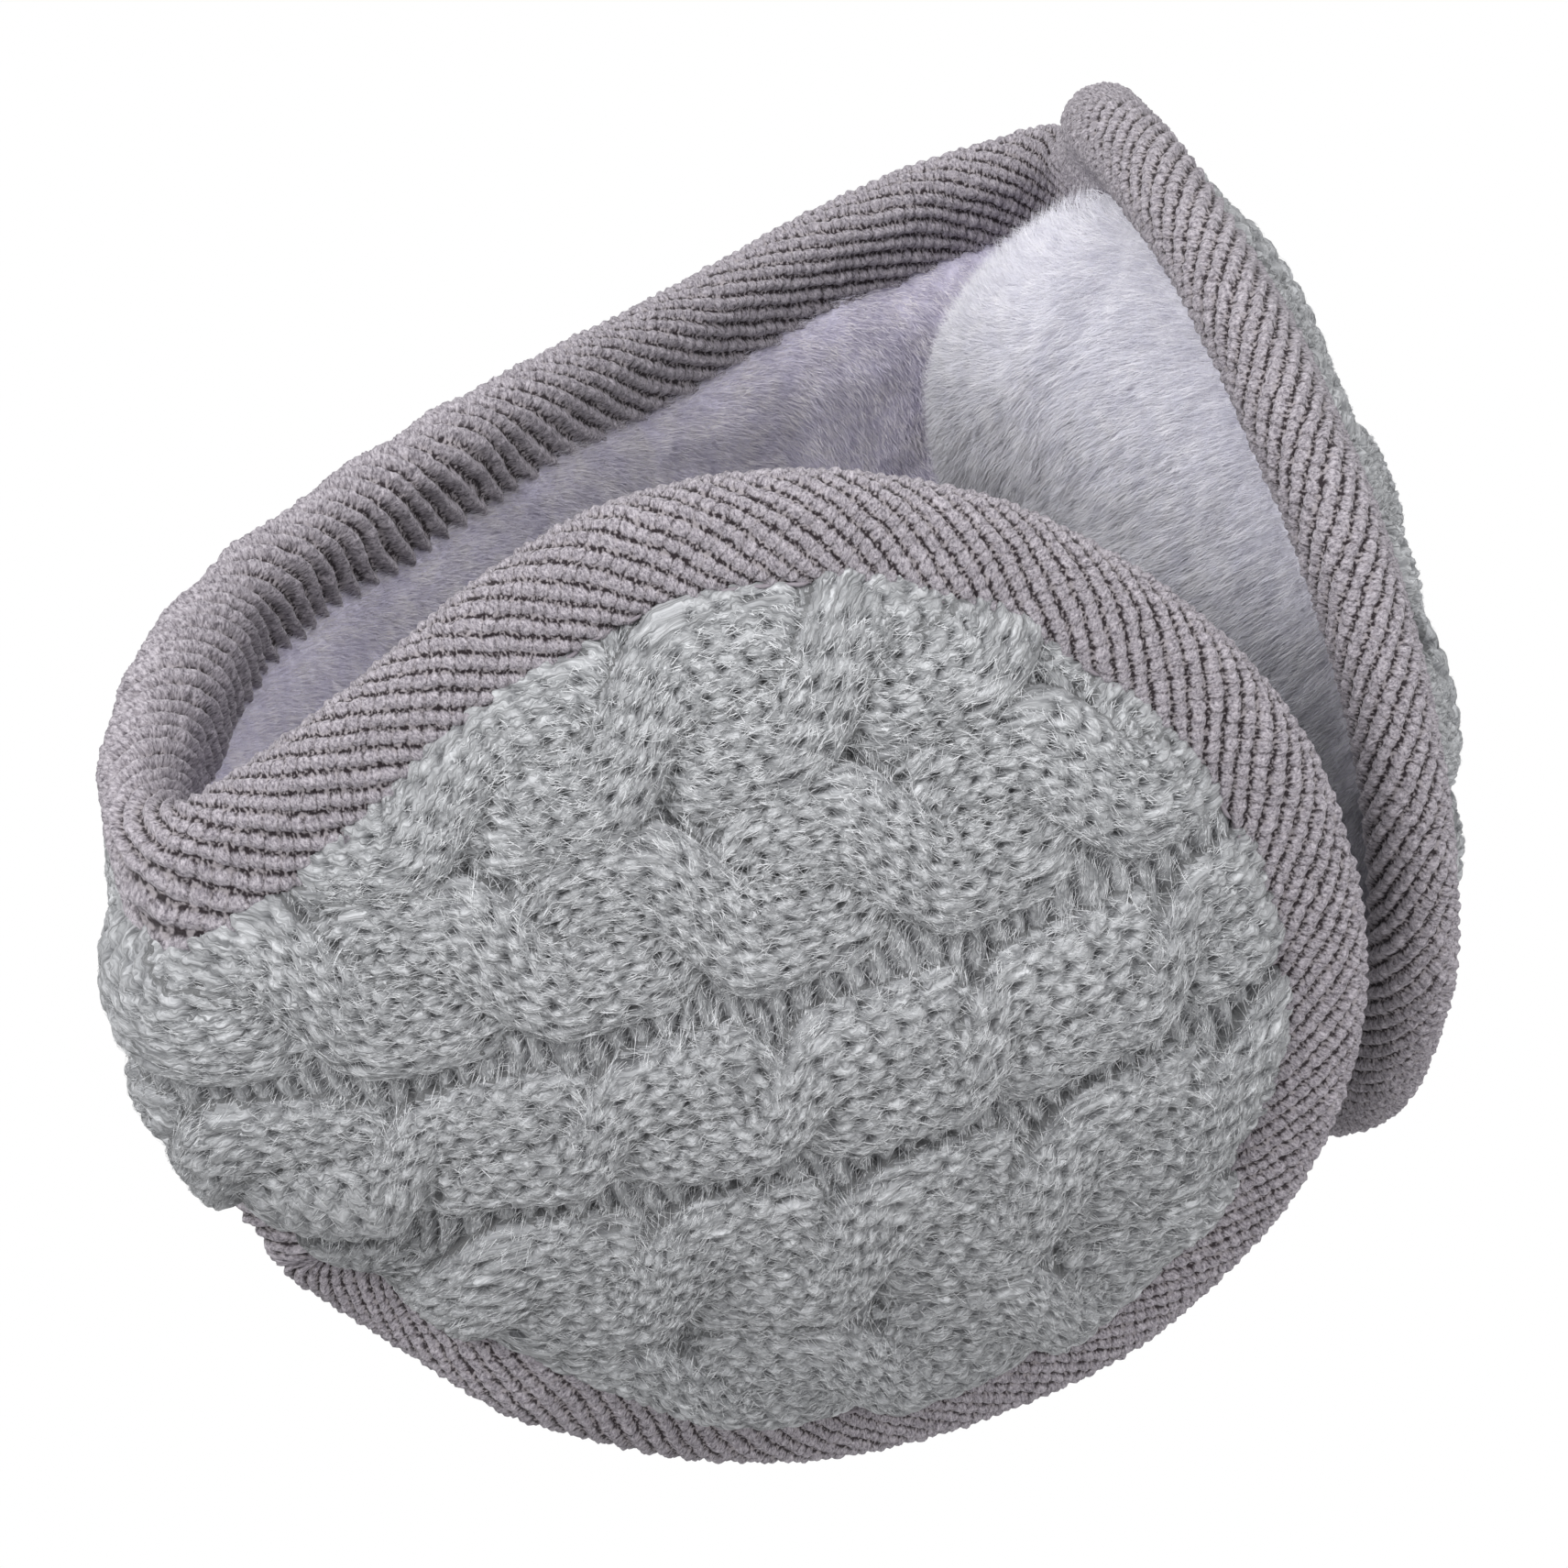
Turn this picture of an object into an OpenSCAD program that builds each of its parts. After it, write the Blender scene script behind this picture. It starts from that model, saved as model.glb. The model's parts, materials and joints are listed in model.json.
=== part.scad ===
// Behind-the-head folding ear warmer: a telescoping rear band and two hinged, domed ear cups.
// Row frame: X across the head, +Y to the back of the head, +Z up, origin midway between the hinge pins.
// Each half is drawn once, on the -X side, and mirrored for the other side.

/* [Overall] */
// Half the distance between the two hinge axes
hinge_x = 82; // [78:1:86]
// How far the band stands back from the line through the hinges
band_sag = 27; // [24:1:32]
// Half the length of the straight stretch at the back of the band
straight_x = 24; // [24:1:26]
// Half the height of the band, to the fabric edge
band_half = 22; // [21:0.5:24]
// Angle that each cup is folded in from the line through the hinges
fold_angle = 48; // [46:1:54]

/* [Ear cups] */
// Length of a cup from its hinge to its tip, to the fabric edge
cup_length = 110; // [104:1:112]
// Distance from the hinge to the tallest place of the cup
peak_s = 57; // [54:1:60]
// Height of the tallest place above the hinge's middle
peak_top = 45; // [42:1:47]
// Depth of the lowest place below the hinge's middle
peak_bottom = 57.5; // [54:0.5:60]
// Height of the tip, against the hinge's middle
tip_z = -7; // [-9:1:-5]
// How far the cup bows out between hinge and tip
cup_bow = 9; // [8:1:12]
// How far its upper and lower edges curl back in towards the head
cup_dish = 16; // [14:1:19]
// Height where the dish is measured
dish_span = 55; // [54:1:58]
// How far the plush pad stands in towards the ear in its hinge half, from the line from hinge to tip
pad_depth = 22; // [16:1:23]
// The same near its tip
pad_tip_depth = 13; // [11:1:15]

/* [Edge binding] */
// Outer radius of the folded tape
tape_r = 4.3; // [4:0.1:4.6]
// How far the tape's two faces reach in over the fabric
tape_leg = 6.2; // [5.5:0.1:6.2]
// Half the thickness of the tape's faces at their inner edges
tape_face = 3.7; // [3.5:0.1:3.9]
// Half the width of the slot that holds the fabric
slot_half = 2.45; // [2.35:0.05:2.6]
// Radius of the sewing thread
thread_r = 0.22; // [0.15:0.01:0.3]
// Length of one stitch
stitch_length = 2.6; // [2:0.1:3]

/* [Frame and hinges] */
// Thickness of each sliding strip
strip_t = 1.2; // [1:0.05:1.3]
// Half the height of a strip
strip_half = 7; // [6:0.5:7.5]
// Gap between the two strips where they lap
lap_gap = 0.3; // [0.2:0.05:0.4]
// Travel of the length adjuster
travel = 25; // [20:1:25]
// Radius of a hinge pin
pin_r = 1.5; // [1.3:0.1:1.6]
// Radial running clearance of the pins and rivet
running = 0.05; // [0.03:0.01:0.08]
// Outer radius of a hinge knuckle
knuckle_r = 3.4; // [3.2:0.1:3.6]
// Half the height of the hinge
hinge_half = 9; // [9:0.5:12]
// Half the height of the cup's own knuckle
centre_knuckle = 4.5; // [4:0.5:6.5]
// Thickness of the cup's ring plate
plate_t = 2; // [1.6:0.1:2]

/* [Hidden] */
$fn = 48;

knit_grey = [0.62, 0.64, 0.63];
tape_mauve = [0.58, 0.55, 0.57];
plush_pale = [0.80, 0.79, 0.85];
plush_grey = [0.62, 0.61, 0.68];
foam_white = [0.92, 0.92, 0.90];
frame_black = [0.13, 0.13, 0.14];
steel = [0.72, 0.73, 0.75];

cover_start = 4.2;          // covers begin this far from a hinge axis
lining_start = 7.6;         // the inner covers begin a little later, in the crook of the fold
centre_gap = 0.15;          // half the gap between the covers' halves at the band's middle
flat_edge = tape_leg + 2.6; // the covers stay flat this far in from the fabric edge
inset_rows = [0, flat_edge, 11, 14, 17];       // rows of the cover grids, in from the fabric edge
side_steps = 9;             // grid steps from a hinge to the cup's tallest place
tip_steps = 9;              // grid steps from there round to the tip
band_steps = 11;            // grid steps along half of the band
tip_round = 28;             // the cup's grid closes on a point this far in from the tip
knuckle_gap = 0.4;          // end play between the knuckles
pin_head_r = 2.4;
pin_head_t = 1;
tab_angle = 9;              // the strip is wide and thick over this angle of its arc, next to the hinge
tab_extra = 0.2;            // how much the tab adds to each face of the strip
arc_r = (pow(hinge_x - straight_x, 2) + band_sag * band_sag) / (2 * band_sag);
arc_angle = asin((hinge_x - straight_x) / arc_r);
clip_length = 5;
clip_wall = 1;
clip_end = straight_x - 1.5;
lap_half = lap_gap / 2;
lap_face = lap_half + strip_t;
slide_play = 0.2;
rivet_r = 1.4;
rivet_head_r = 2.4;
rivet_head_t = 0.8;
rivet_x = clip_length - clip_end + rivet_head_r + 3.6;   // stands clear of its own clip

// ---------------------------------------------------------------- helpers
function mix(a, b, t) = a + (b - a) * t;
function unit(v) = v / norm(v);
// How full the stuffing is at a distance in from the fabric edge: flat inside the tape, then rising
function fullness(d, reach) = d <= flat_edge ? 0 : 1 - exp(-(d - flat_edge) / reach);

// Closed solid between two grids of points of the same size. Where closed_tip is true the last row
// folds back on itself, so that its second half uses the points of its first half.
module between(outer, inner, closed_tip = false) {
    rows = len(outer);
    cols = len(outer[0]);
    count = rows * cols;
    function at(i, j) = i * cols + (closed_tip && i == rows - 1 && j > (cols - 1) / 2 ? cols - 1 - j : j);
    faces_outer = [for (i = [0 : rows - 2], j = [0 : cols - 2]) each
        [[at(i, j), at(i + 1, j + 1), at(i, j + 1)], [at(i, j), at(i + 1, j), at(i + 1, j + 1)]]];
    faces_inner = [for (f = faces_outer) [f[0] + count, f[2] + count, f[1] + count]];
    function wall(a, b) = [[a, a + count, b + count], [a, b + count, b]];
    walls = [
        for (i = [0 : rows - 2]) each wall(at(i, 0), at(i + 1, 0)),
        for (i = [0 : rows - 2]) each wall(at(i + 1, cols - 1), at(i, cols - 1)),
        for (j = [0 : cols - 2]) each wall(at(0, j + 1), at(0, j)),
        if (!closed_tip) for (j = [0 : cols - 2]) each wall(at(rows - 1, j), at(rows - 1, j + 1))
    ];
    polyhedron(concat([for (r = outer) each r], [for (r = inner) each r]),
        concat(faces_outer, faces_inner, walls), convexity = 6);
}

// Solid swept through a list of closed sections with the same number of points. cap lists the
// triangles that close the first section.
module swept(sections, cap) {
    n = len(sections[0]);
    last = (len(sections) - 1) * n;
    sides = [for (i = [0 : len(sections) - 2], k = [0 : n - 1]) let (a = i * n + k, b = i * n + (k + 1) % n) each
        [[a, b, b + n], [a, b + n, a + n]]];
    end_cap = [for (t = cap) [last + t[0], last + t[2], last + t[1]]];
    polyhedron([for (s = sections) each s], concat(sides, cap, end_cap), convexity = 6);
}

// Folded tape's section: u runs in from the fabric edge, v is across the fabric
tape_section = concat(
    [for (a = [90 : 30 : 270]) [tape_r * cos(a), tape_r * sin(a)]],
    [[tape_leg, -tape_face], [tape_leg, -slot_half], [-0.3, -slot_half],
     [-0.3, slot_half], [tape_leg, slot_half], [tape_leg, tape_face]]);

tape_cap = concat([[8, 7, 6], [9, 8, 6], [10, 9, 3], [12, 11, 0], [11, 10, 0]],
    [for (k = [3 : 5]) [k + 1, k, 9]], [for (k = [0 : 2]) [k + 1, k, 10]]);

// Sections of the tape along a path of frames [place, inward, across]
function tape_rings(frames) = [for (f = frames) [for (p = tape_section) f[0] + p[0] * f[1] + p[1] * f[2]]];

// Row of stitches lying on the tape's outer face, two to each step of the path
module stitches(frames) {
    sew_u = tape_leg - 1;
    face = mix(tape_r, tape_face, sew_u / tape_leg);
    rail = [for (f = frames) f[0] + sew_u * f[1] + (face + thread_r + 0.04) * f[2]];
    for (i = [0 : len(rail) - 2], t = [0.25, 0.75]) {
        along = unit(rail[i + 1] - rail[i]);
        translate(mix(rail[i], rail[i + 1], t))
            rotate([0, acos(along[2]), atan2(along[1], along[0])])
                cylinder(h = stitch_length, r = thread_r, center = true, $fn = 16);
    }
}

module other_side() mirror([1, 0, 0]) children();

// ---------------------------------------------------------------- ear cup surfaces
// Places in a cup are [s, z, n]: s from the hinge to the tip, z up, n out from the head.
module cup_place() translate([-hinge_x, 0, 0]) rotate([0, 0, -fold_angle]) rotate([90, 0, 0]) children();

function rise(s) = pow(sin(90 * min(s / peak_s, 1)), 1.5);
function edge_top(s) = mix(band_half, peak_top, rise(s));
function edge_bottom(s) = mix(-band_half, -peak_bottom, rise(s));
function skin(s, z) = let (t = s / cup_length)
    4 * cup_bow * t * (1 - t) - cup_dish * pow((z - tip_z) / dish_span, 2) * sin(90 * min(1, s / 45));
function slope_s(s, z) = (skin(s + 0.5, z) - skin(s - 0.5, z));
function slope_z(s, z) = (skin(s, z + 0.5) - skin(s, z - 0.5));
function skin_normal(s, z) = unit([-slope_s(s, z), -slope_z(s, z), 1]);

// Fabric edge, as [s, z], for grid row i on the upper (side = 1) or lower (side = -1) half
cup_rows = side_steps + tip_steps;
function edge_point(i, side, start) = i <= side_steps
    ? let (s = mix(start, peak_s, i / side_steps)) [s, side > 0 ? edge_top(s) : edge_bottom(s)]
    : let (a = 90 * (i - side_steps) / tip_steps, peak = side > 0 ? peak_top : -peak_bottom)
        [peak_s + (cup_length - peak_s) * sin(a), tip_z + (peak - tip_z) * cos(a)];
function spine_point(i, start) = i <= side_steps
    ? let (s = mix(start, peak_s, i / side_steps)) [s, mix(0, tip_z, rise(s))]
    : [mix(peak_s, cup_length - tip_round, sin(90 * (i - side_steps) / tip_steps)), tip_z];

// Grid place in from the edge: [s, z, distance from the edge]
function cup_cell(i, side, d, start) =
    let (o = edge_point(i, side, start), c = spine_point(i, start), reach = norm(c - o))
    let (p = mix(o, c, min(d, reach) / reach)) [p[0], p[1], min(d, reach)];
cup_insets = concat(inset_rows, [22, 1000]);
function cup_cells(start) = [for (i = [0 : cup_rows]) concat(
    [for (d = cup_insets) cup_cell(i, 1, d, start)],
    [for (k = [len(cup_insets) - 2 : -1 : 0]) cup_cell(i, -1, cup_insets[k], start)])];

// Point of a cup layer: edge is its offset inside the tape, middle its height n at full stuffing
function layer_point(cell, edge, middle) =
    let (s = cell[0], z = cell[1], nrm = skin_normal(s, z), f = fullness(cell[2], 5))
    let (base = [s, z, skin(s, z)] + edge * nrm) [base[0], base[1], mix(base[2], middle, f)];
// follow = 1 keeps the middle parallel to the outer skin, follow = 0 keeps it flat
function cup_layer(start, edge, middle, follow) = [for (row = cup_cells(start))
    [for (c = row) layer_point(c, edge, middle + follow * skin(c[0], c[1]))]];

module cup_between(start, edge_a, middle_a, follow_a, edge_b, middle_b, follow_b)
    cup_place() between(cup_layer(start, edge_a, middle_a, follow_a),
        cup_layer(start, edge_b, middle_b, follow_b), closed_tip = true);

// Frames of the cup's tape: from the hinge over the top, round the tip and back underneath
cup_edge = concat([for (i = [0 : cup_rows]) edge_point(i, 1, cover_start)],
    [for (i = [cup_rows - 1 : -1 : 0]) edge_point(i, -1, cover_start)]);
function cup_frame_at(k) =
    let (p = cup_edge[k], n = len(cup_edge) - 1, a = cup_edge[max(k - 1, 0)], b = cup_edge[min(k + 1, n)])
    let (along = unit([b[0] - a[0], b[1] - a[1], skin(b[0], b[1]) - skin(a[0], a[1])]))
    let (across = skin_normal(p[0], p[1])) [[p[0], p[1], skin(p[0], p[1])], unit(cross(along, across)), across];
cup_frames = [for (k = [0 : len(cup_edge) - 1]) cup_frame_at(k)];

// ---------------------------------------------------------------- band surfaces
// Station k runs from the left hinge, round the arc and along the straight to the middle
function band_station(k, start) =
    let (arc_steps = band_steps - 2, a0 = arc_angle - start / arc_r * 180 / PI)
    k <= arc_steps
        ? let (a = a0 * (1 - k / arc_steps))
            [[-straight_x - arc_r * sin(a), band_sag - arc_r + arc_r * cos(a), 0], [-sin(a), cos(a), 0]]
        : [[mix(-straight_x, -centre_gap, (k - arc_steps) / 2), band_sag, 0], [0, 1, 0]];
band_insets = concat(inset_rows, [band_half]);
band_heights = concat([for (d = band_insets) [d - band_half, d]],
    [for (k = [len(band_insets) - 2 : -1 : 0]) [band_half - band_insets[k], band_insets[k]]]);
function band_layer(start, edge, middle) = [for (k = [0 : band_steps]) let (st = band_station(k, start))
    [for (h = band_heights) st[0] + [0, 0, h[0]] + mix(edge, middle, fullness(h[1], 3)) * st[1]]];
module band_between(start, edge_a, middle_a, edge_b, middle_b)
    between(band_layer(start, edge_a, middle_a), band_layer(start, edge_b, middle_b));
function band_frames(side) = [for (k = [0 : band_steps]) let (st = band_station(k, cover_start))
    [st[0] + [0, 0, side * band_half], [0, 0, -side], st[1]]];

// ---------------------------------------------------------------- band: frame pieces
// Plan outline of a bent strip from from_angle to to_angle, with a straight end of length tail
function arc_line(r, from_angle, to_angle) = [for (i = [0 : 30]) let (a = mix(from_angle, to_angle, i / 30))
    [-straight_x - r * sin(a), band_sag - arc_r + r * cos(a)]];
function tail_line(r, tail) = tail > 0 ? [[-straight_x + tail, band_sag - arc_r + r]] : [];
function flipped(v) = [for (i = [len(v) - 1 : -1 : 0]) v[i]];
module bent_strip(low_r, high_r, half, from_angle, to_angle, tail)
    translate([0, 0, -half]) linear_extrude(2 * half) polygon(concat(
        arc_line(low_r, from_angle, to_angle), tail_line(low_r, tail),
        flipped(concat(arc_line(high_r, from_angle, to_angle), tail_line(high_r, tail)))));

// One strip on the -X side. offset is where its inner face lies against the band's middle surface.
module strip(offset) {
    low_r = arc_r + offset;
    high_r = low_r + strip_t;
    difference() {
        union() {
            bent_strip(low_r, high_r, strip_half, arc_angle - 1, 0, straight_x + clip_end);
            bent_strip(low_r - tab_extra, high_r + tab_extra, hinge_half, arc_angle, arc_angle - tab_angle, 0);
            translate([-hinge_x, 0, -hinge_half]) cylinder(h = 2 * hinge_half, r = knuckle_r);
        }
        translate([-hinge_x, 0, -centre_knuckle - knuckle_gap])
            cylinder(h = 2 * (centre_knuckle + knuckle_gap), r = knuckle_r + 0.6);
        translate([-hinge_x, 0, -hinge_half - 1]) cylinder(h = 2 * hinge_half + 2, r = pin_r + running);
    }
}

module guide_clip(play_out, play_in) {
    outer_half = lap_face + slide_play + clip_wall;
    hole_z = strip_half + slide_play;
    translate([-clip_end, band_sag, 0]) difference() {
        translate([0, -outer_half, -hole_z - clip_wall])
            cube([clip_length, 2 * outer_half, 2 * (hole_z + clip_wall)]);
        translate([-1, -lap_face - play_in, -hole_z])
            cube([clip_length + 2, 2 * lap_face + play_in + play_out, 2 * hole_z]);
    }
}

module band_strip_left() color(frame_black) difference() {
    strip(lap_half);
    slot_h = rivet_r + slide_play;
    translate([rivet_x, band_sag + lap_face + 1, 0]) rotate([90, 0, 0]) {
        cylinder(h = strip_t + 2, r = slot_h);
        translate([travel, 0, 0]) cylinder(h = strip_t + 2, r = slot_h);
        translate([0, -slot_h, 0]) cube([travel, 2 * slot_h, strip_t + 2]);
    }
}

module band_strip_right() color(frame_black) difference() {
    other_side() strip(-lap_face);
    translate([rivet_x, band_sag + 1, 0]) rotate([90, 0, 0]) cylinder(h = strip_t + 3, r = rivet_r + running);
}

module guide_clip_left() color(frame_black) other_side() guide_clip(0, slide_play);

module guide_clip_right() color(frame_black) guide_clip(slide_play, 0);

module stop_rivet() color(steel) translate([rivet_x, band_sag, 0]) rotate([90, 0, 0]) {
    translate([0, 0, -lap_face - 0.1]) cylinder(h = 2 * lap_face + 0.1, r = rivet_r);
    translate([0, 0, lap_face]) cylinder(h = rivet_head_t, r = rivet_head_r);
    translate([0, 0, -lap_face - 0.1 - rivet_head_t]) cylinder(h = rivet_head_t, r = rivet_head_r);
}

// ---------------------------------------------------------------- band: soft pieces
module band_knit() color(knit_grey) band_between(cover_start, 2, 7, 1, 4.8);

module band_wadding() color(foam_white) band_between(cover_start + 1, 0.8, 4.6, -0.6, 3.3);

module band_plush() color(plush_grey) band_between(lining_start, -0.8, -3.4, -1.9, -7.5);

module band_binding() color(tape_mauve) for (flip = [0, 1])
    mirror([0, 0, flip]) swept(tape_rings(band_frames(-1)), tape_cap);

module band_thread() color(tape_mauve) for (side = [1, -1]) stitches(band_frames(side));

// ---------------------------------------------------------------- ear cups
module hinge_pin() color(steel) translate([-hinge_x, 0, 0]) {
    cylinder(h = 2 * hinge_half + 2 * pin_head_t, r = pin_r, center = true);
    for (side = [1, -1]) translate([0, 0, side * (hinge_half + 0.1 + pin_head_t / 2)])
        cylinder(h = pin_head_t, r = pin_head_r, center = true);
}

// Ring plate in the cup's flat middle plane, with an arm to the hinge and the centre knuckle
ring_s = 56;
ring_a = 39;
ring_b = 33;
ring_w = 9;
arm_half = 8;
module cup_frame() color(frame_black) cup_place() {
    difference() {
        union() {
            translate([0, 0, -plate_t / 2]) linear_extrude(plate_t) difference() {
                union() {
                    translate([ring_s, tip_z]) oval(ring_a, ring_b);
                    translate([knuckle_r + 1, -arm_half]) square([ring_s - ring_a + ring_w / 2, 2 * arm_half]);
                }
                translate([ring_s, tip_z]) oval(ring_a - ring_w, ring_b - ring_w);
            }
            translate([0, -centre_knuckle, -plate_t / 2])
                cube([knuckle_r + 1.5, 2 * centre_knuckle, plate_t]);
            rotate([-90, 0, 0]) cylinder(h = 2 * centre_knuckle, r = knuckle_r, center = true);
        }
        rotate([-90, 0, 0]) cylinder(h = 2 * centre_knuckle + 2, r = pin_r + running, center = true);
    }
}

// Oval as a polygon of 60 sides
module oval(a, b) polygon([for (t = [0 : 6 : 354]) [a * cos(t), b * sin(t)]]);

module cup_knit() color(knit_grey) cup_between(cover_start, 2, 5.5, 1, 1, 3.2, 1);

module cup_wadding() color(foam_white) cup_between(cover_start + 1, 0.8, 3, 1, -0.6, 1.3, 0);

// The pad is a pillow, deepest in its hinge half
function pad_height(s) = -mix(pad_depth, pad_tip_depth, min(1, max(0, (s - 28) / 60)));
pad_face = [for (row = cup_cells(lining_start)) [for (c = row) layer_point(c, -1.9, pad_height(c[0]))]];
module cup_plush() color(plush_pale) cup_place()
    between(cup_layer(lining_start, -0.8, -8, 0), pad_face, closed_tip = true);

// Oval cushion against the inner face of the ring plate: rings of points, each [share of the width, n]
cushion_a = 37;
cushion_b = 34;
cushion_spokes = 36;
cushion_rings = 5;
cushion_depth = 6.2;
cushion_edge = 1.2;
cushion_face = plate_t / 2 + 0.3;
function cushion_ring(share, n) = [for (k = [cushion_spokes - 1 : -1 : 0]) let (a = k * 360 / cushion_spokes)
    [ring_s + cushion_a * share * cos(a), tip_z + cushion_b * share * sin(a), n]];
function cushion_level(i) = let (share = cos(90 * i / cushion_rings))
    cushion_ring(share, -cushion_face - cushion_edge - (cushion_depth - cushion_edge) * sqrt(1 - share * share));
module cup_foam() color(foam_white) cup_place()
    swept(concat([cushion_ring(1, -cushion_face)], [for (i = [0 : cushion_rings - 1]) cushion_level(i)]),
        [for (k = [1 : cushion_spokes - 2]) [k + 1, k, 0]]);

module cup_binding() color(tape_mauve) cup_place() swept(tape_rings(cup_frames), tape_cap);

module cup_thread() color(tape_mauve) cup_place() stitches(cup_frames);

band_strip_left();
band_strip_right();
guide_clip_left();
guide_clip_right();
stop_rivet();
band_knit();  // band_knit_left
other_side() band_knit();  // band_knit_right
band_wadding();  // band_wadding_left
other_side() band_wadding();  // band_wadding_right
band_plush();  // band_plush_left
other_side() band_plush();  // band_plush_right
band_binding();  // band_binding_left
other_side() band_binding();  // band_binding_right
band_thread();  // band_thread_left
other_side() band_thread();  // band_thread_right
hinge_pin();  // hinge_pin_left
other_side() hinge_pin();  // hinge_pin_right
cup_frame();  // cup_frame_left
other_side() cup_frame();  // cup_frame_right
cup_knit();  // cup_knit_left
other_side() cup_knit();  // cup_knit_right
cup_wadding();  // cup_wadding_left
other_side() cup_wadding();  // cup_wadding_right
cup_foam();  // cup_foam_left
other_side() cup_foam();  // cup_foam_right
cup_plush();  // cup_plush_left
other_side() cup_plush();  // cup_plush_right
cup_binding();  // cup_binding_left
other_side() cup_binding();  // cup_binding_right
cup_thread();  // cup_thread_left
other_side() cup_thread();  // cup_thread_right
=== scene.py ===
"""Looks of the folding ear warmer: cable knit, ribbed edge tape, plush lining and the frame inside.

Lengths are in millimetres until a mesh is made. A place on the covers is (u, z): u runs along the
fabric from the tip of the left cup (-CUP_LENGTH) over the left hinge (0) and round the band to the
right hinge (BAND_LENGTH) and the tip of the right cup, and z is up.
"""
import json
import math

import bpy
import numpy as np
from mathutils import Matrix, Vector


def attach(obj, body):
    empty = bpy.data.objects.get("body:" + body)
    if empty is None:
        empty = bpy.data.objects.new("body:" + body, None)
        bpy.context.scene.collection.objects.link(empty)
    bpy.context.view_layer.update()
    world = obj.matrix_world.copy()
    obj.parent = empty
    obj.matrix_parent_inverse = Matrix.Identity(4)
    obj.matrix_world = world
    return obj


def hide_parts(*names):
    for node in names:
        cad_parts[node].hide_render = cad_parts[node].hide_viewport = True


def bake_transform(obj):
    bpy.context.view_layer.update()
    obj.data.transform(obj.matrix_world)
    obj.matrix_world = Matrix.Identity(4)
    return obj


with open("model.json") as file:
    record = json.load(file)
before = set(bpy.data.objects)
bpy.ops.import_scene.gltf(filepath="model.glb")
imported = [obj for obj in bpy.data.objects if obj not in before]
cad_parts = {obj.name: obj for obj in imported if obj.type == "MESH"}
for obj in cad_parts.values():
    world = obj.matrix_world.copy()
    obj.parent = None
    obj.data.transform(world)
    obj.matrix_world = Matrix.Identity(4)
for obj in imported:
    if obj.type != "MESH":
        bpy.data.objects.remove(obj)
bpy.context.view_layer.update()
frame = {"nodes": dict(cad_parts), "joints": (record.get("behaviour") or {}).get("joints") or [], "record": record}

# ------------------------------------------------------------------ sizes, as in the CAD model or near it
MM = 0.001
JOINTS = {joint["name"]: joint for joint in frame["joints"]}
HINGE_X = JOINTS["fold_right"]["pos_m"][0] / MM
BAND_SAG = 27.0          # how far the band's back stands behind the hinges
STRAIGHT_X = 24.0        # the band is straight this far to each side of its middle
BAND_HALF = 22.0         # half the band's height
FOLD = math.radians(48)  # angle at rest between a cup and the line through the hinges
CUP_LENGTH = 110.0       # from the hinge to the tip
PEAK_S = 57.0            # a cup is tallest this far from its hinge
PEAK_TOP = 45.0          # height of the upper edge there
PEAK_BOTTOM = -57.5      # height of the lower edge there
TIP_Z = -7.0             # height of the tip
CUP_BOW = 9.0            # how far a cup bows outwards between hinge and tip
CUP_DISH = 16.0          # how far it curls in at DISH_SPAN above or below the tip's height
DISH_SPAN = 55.0
TAPE_R = 4.3             # radius of the tape's roll over the edge
TAPE_LEG = 6.4           # how far the tape's faces reach in from the edge, 0.2 more than in CAD
ARC_R = ((HINGE_X - STRAIGHT_X) ** 2 + BAND_SAG**2) / (2 * BAND_SAG)
ARC_ANGLE = math.asin((HINGE_X - STRAIGHT_X) / ARC_R)
ARC_LENGTH = ARC_R * ARC_ANGLE
BAND_LENGTH = 2 * (ARC_LENGTH + STRAIGHT_X)

FOLD_SOFT = 7.0      # the covers round the corner at a hinge over this length on each side
SEAM = 16.0          # a piece changes this far along the cup from riding on it to keeping its place


# ------------------------------------------------------------------ small helpers
def smooth(low, high, x):
    t = np.clip((x - low) / (high - low), 0, 1)
    return t * t * (3 - 2 * t)


def mix(a, b, t):
    return a + (b - a) * t


def unit(v):
    return v / np.maximum(np.linalg.norm(v, axis=-1, keepdims=True), 1e-9)


def value_noise(x, y, size, seed):
    """Smooth noise from -1 to 1 over a plane, with lumps about size across."""
    table = np.random.default_rng(seed).uniform(-1, 1, (64, 64))
    gx, gy = x / size, y / size
    ix, iy = np.floor(gx).astype(int), np.floor(gy).astype(int)
    fx, fy = smooth(0, 1, gx - ix), smooth(0, 1, gy - iy)

    def corner(a, b):
        return table[(ix + a) % 64, (iy + b) % 64]

    low = mix(corner(0, 0), corner(1, 0), fx)
    high = mix(corner(0, 1), corner(1, 1), fx)
    return mix(low, high, fy)


def soften(grid, passes):
    """Blurs a height grid a little."""
    for _ in range(passes):
        padded = np.pad(grid, 1, mode="edge")
        beside = padded[2:, 1:-1] + padded[:-2, 1:-1] + padded[1:-1, 2:] + padded[1:-1, :-2]
        grid = (4 * grid + beside) / 8
    return grid


# ------------------------------------------------------------------ the covers' shape
def rise(s):
    return np.sin(np.pi / 2 * np.clip(s / PEAK_S, 0, 1)) ** 1.5


def edge_height(s, peak):
    """Height of a cup's upper or lower fabric edge, up to its tallest place."""
    start = math.copysign(BAND_HALF, peak)
    return mix(start, peak, rise(s))


def cup_skin(s, z):
    """How far a cup's middle surface stands out from the line from hinge to tip."""
    t = s / CUP_LENGTH
    curl = np.sin(np.pi / 2 * np.clip(s / 45, 0, 1))
    return 4 * CUP_BOW * t * (1 - t) - CUP_DISH * ((z - TIP_Z) / DISH_SPAN) ** 2 * curl


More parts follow.
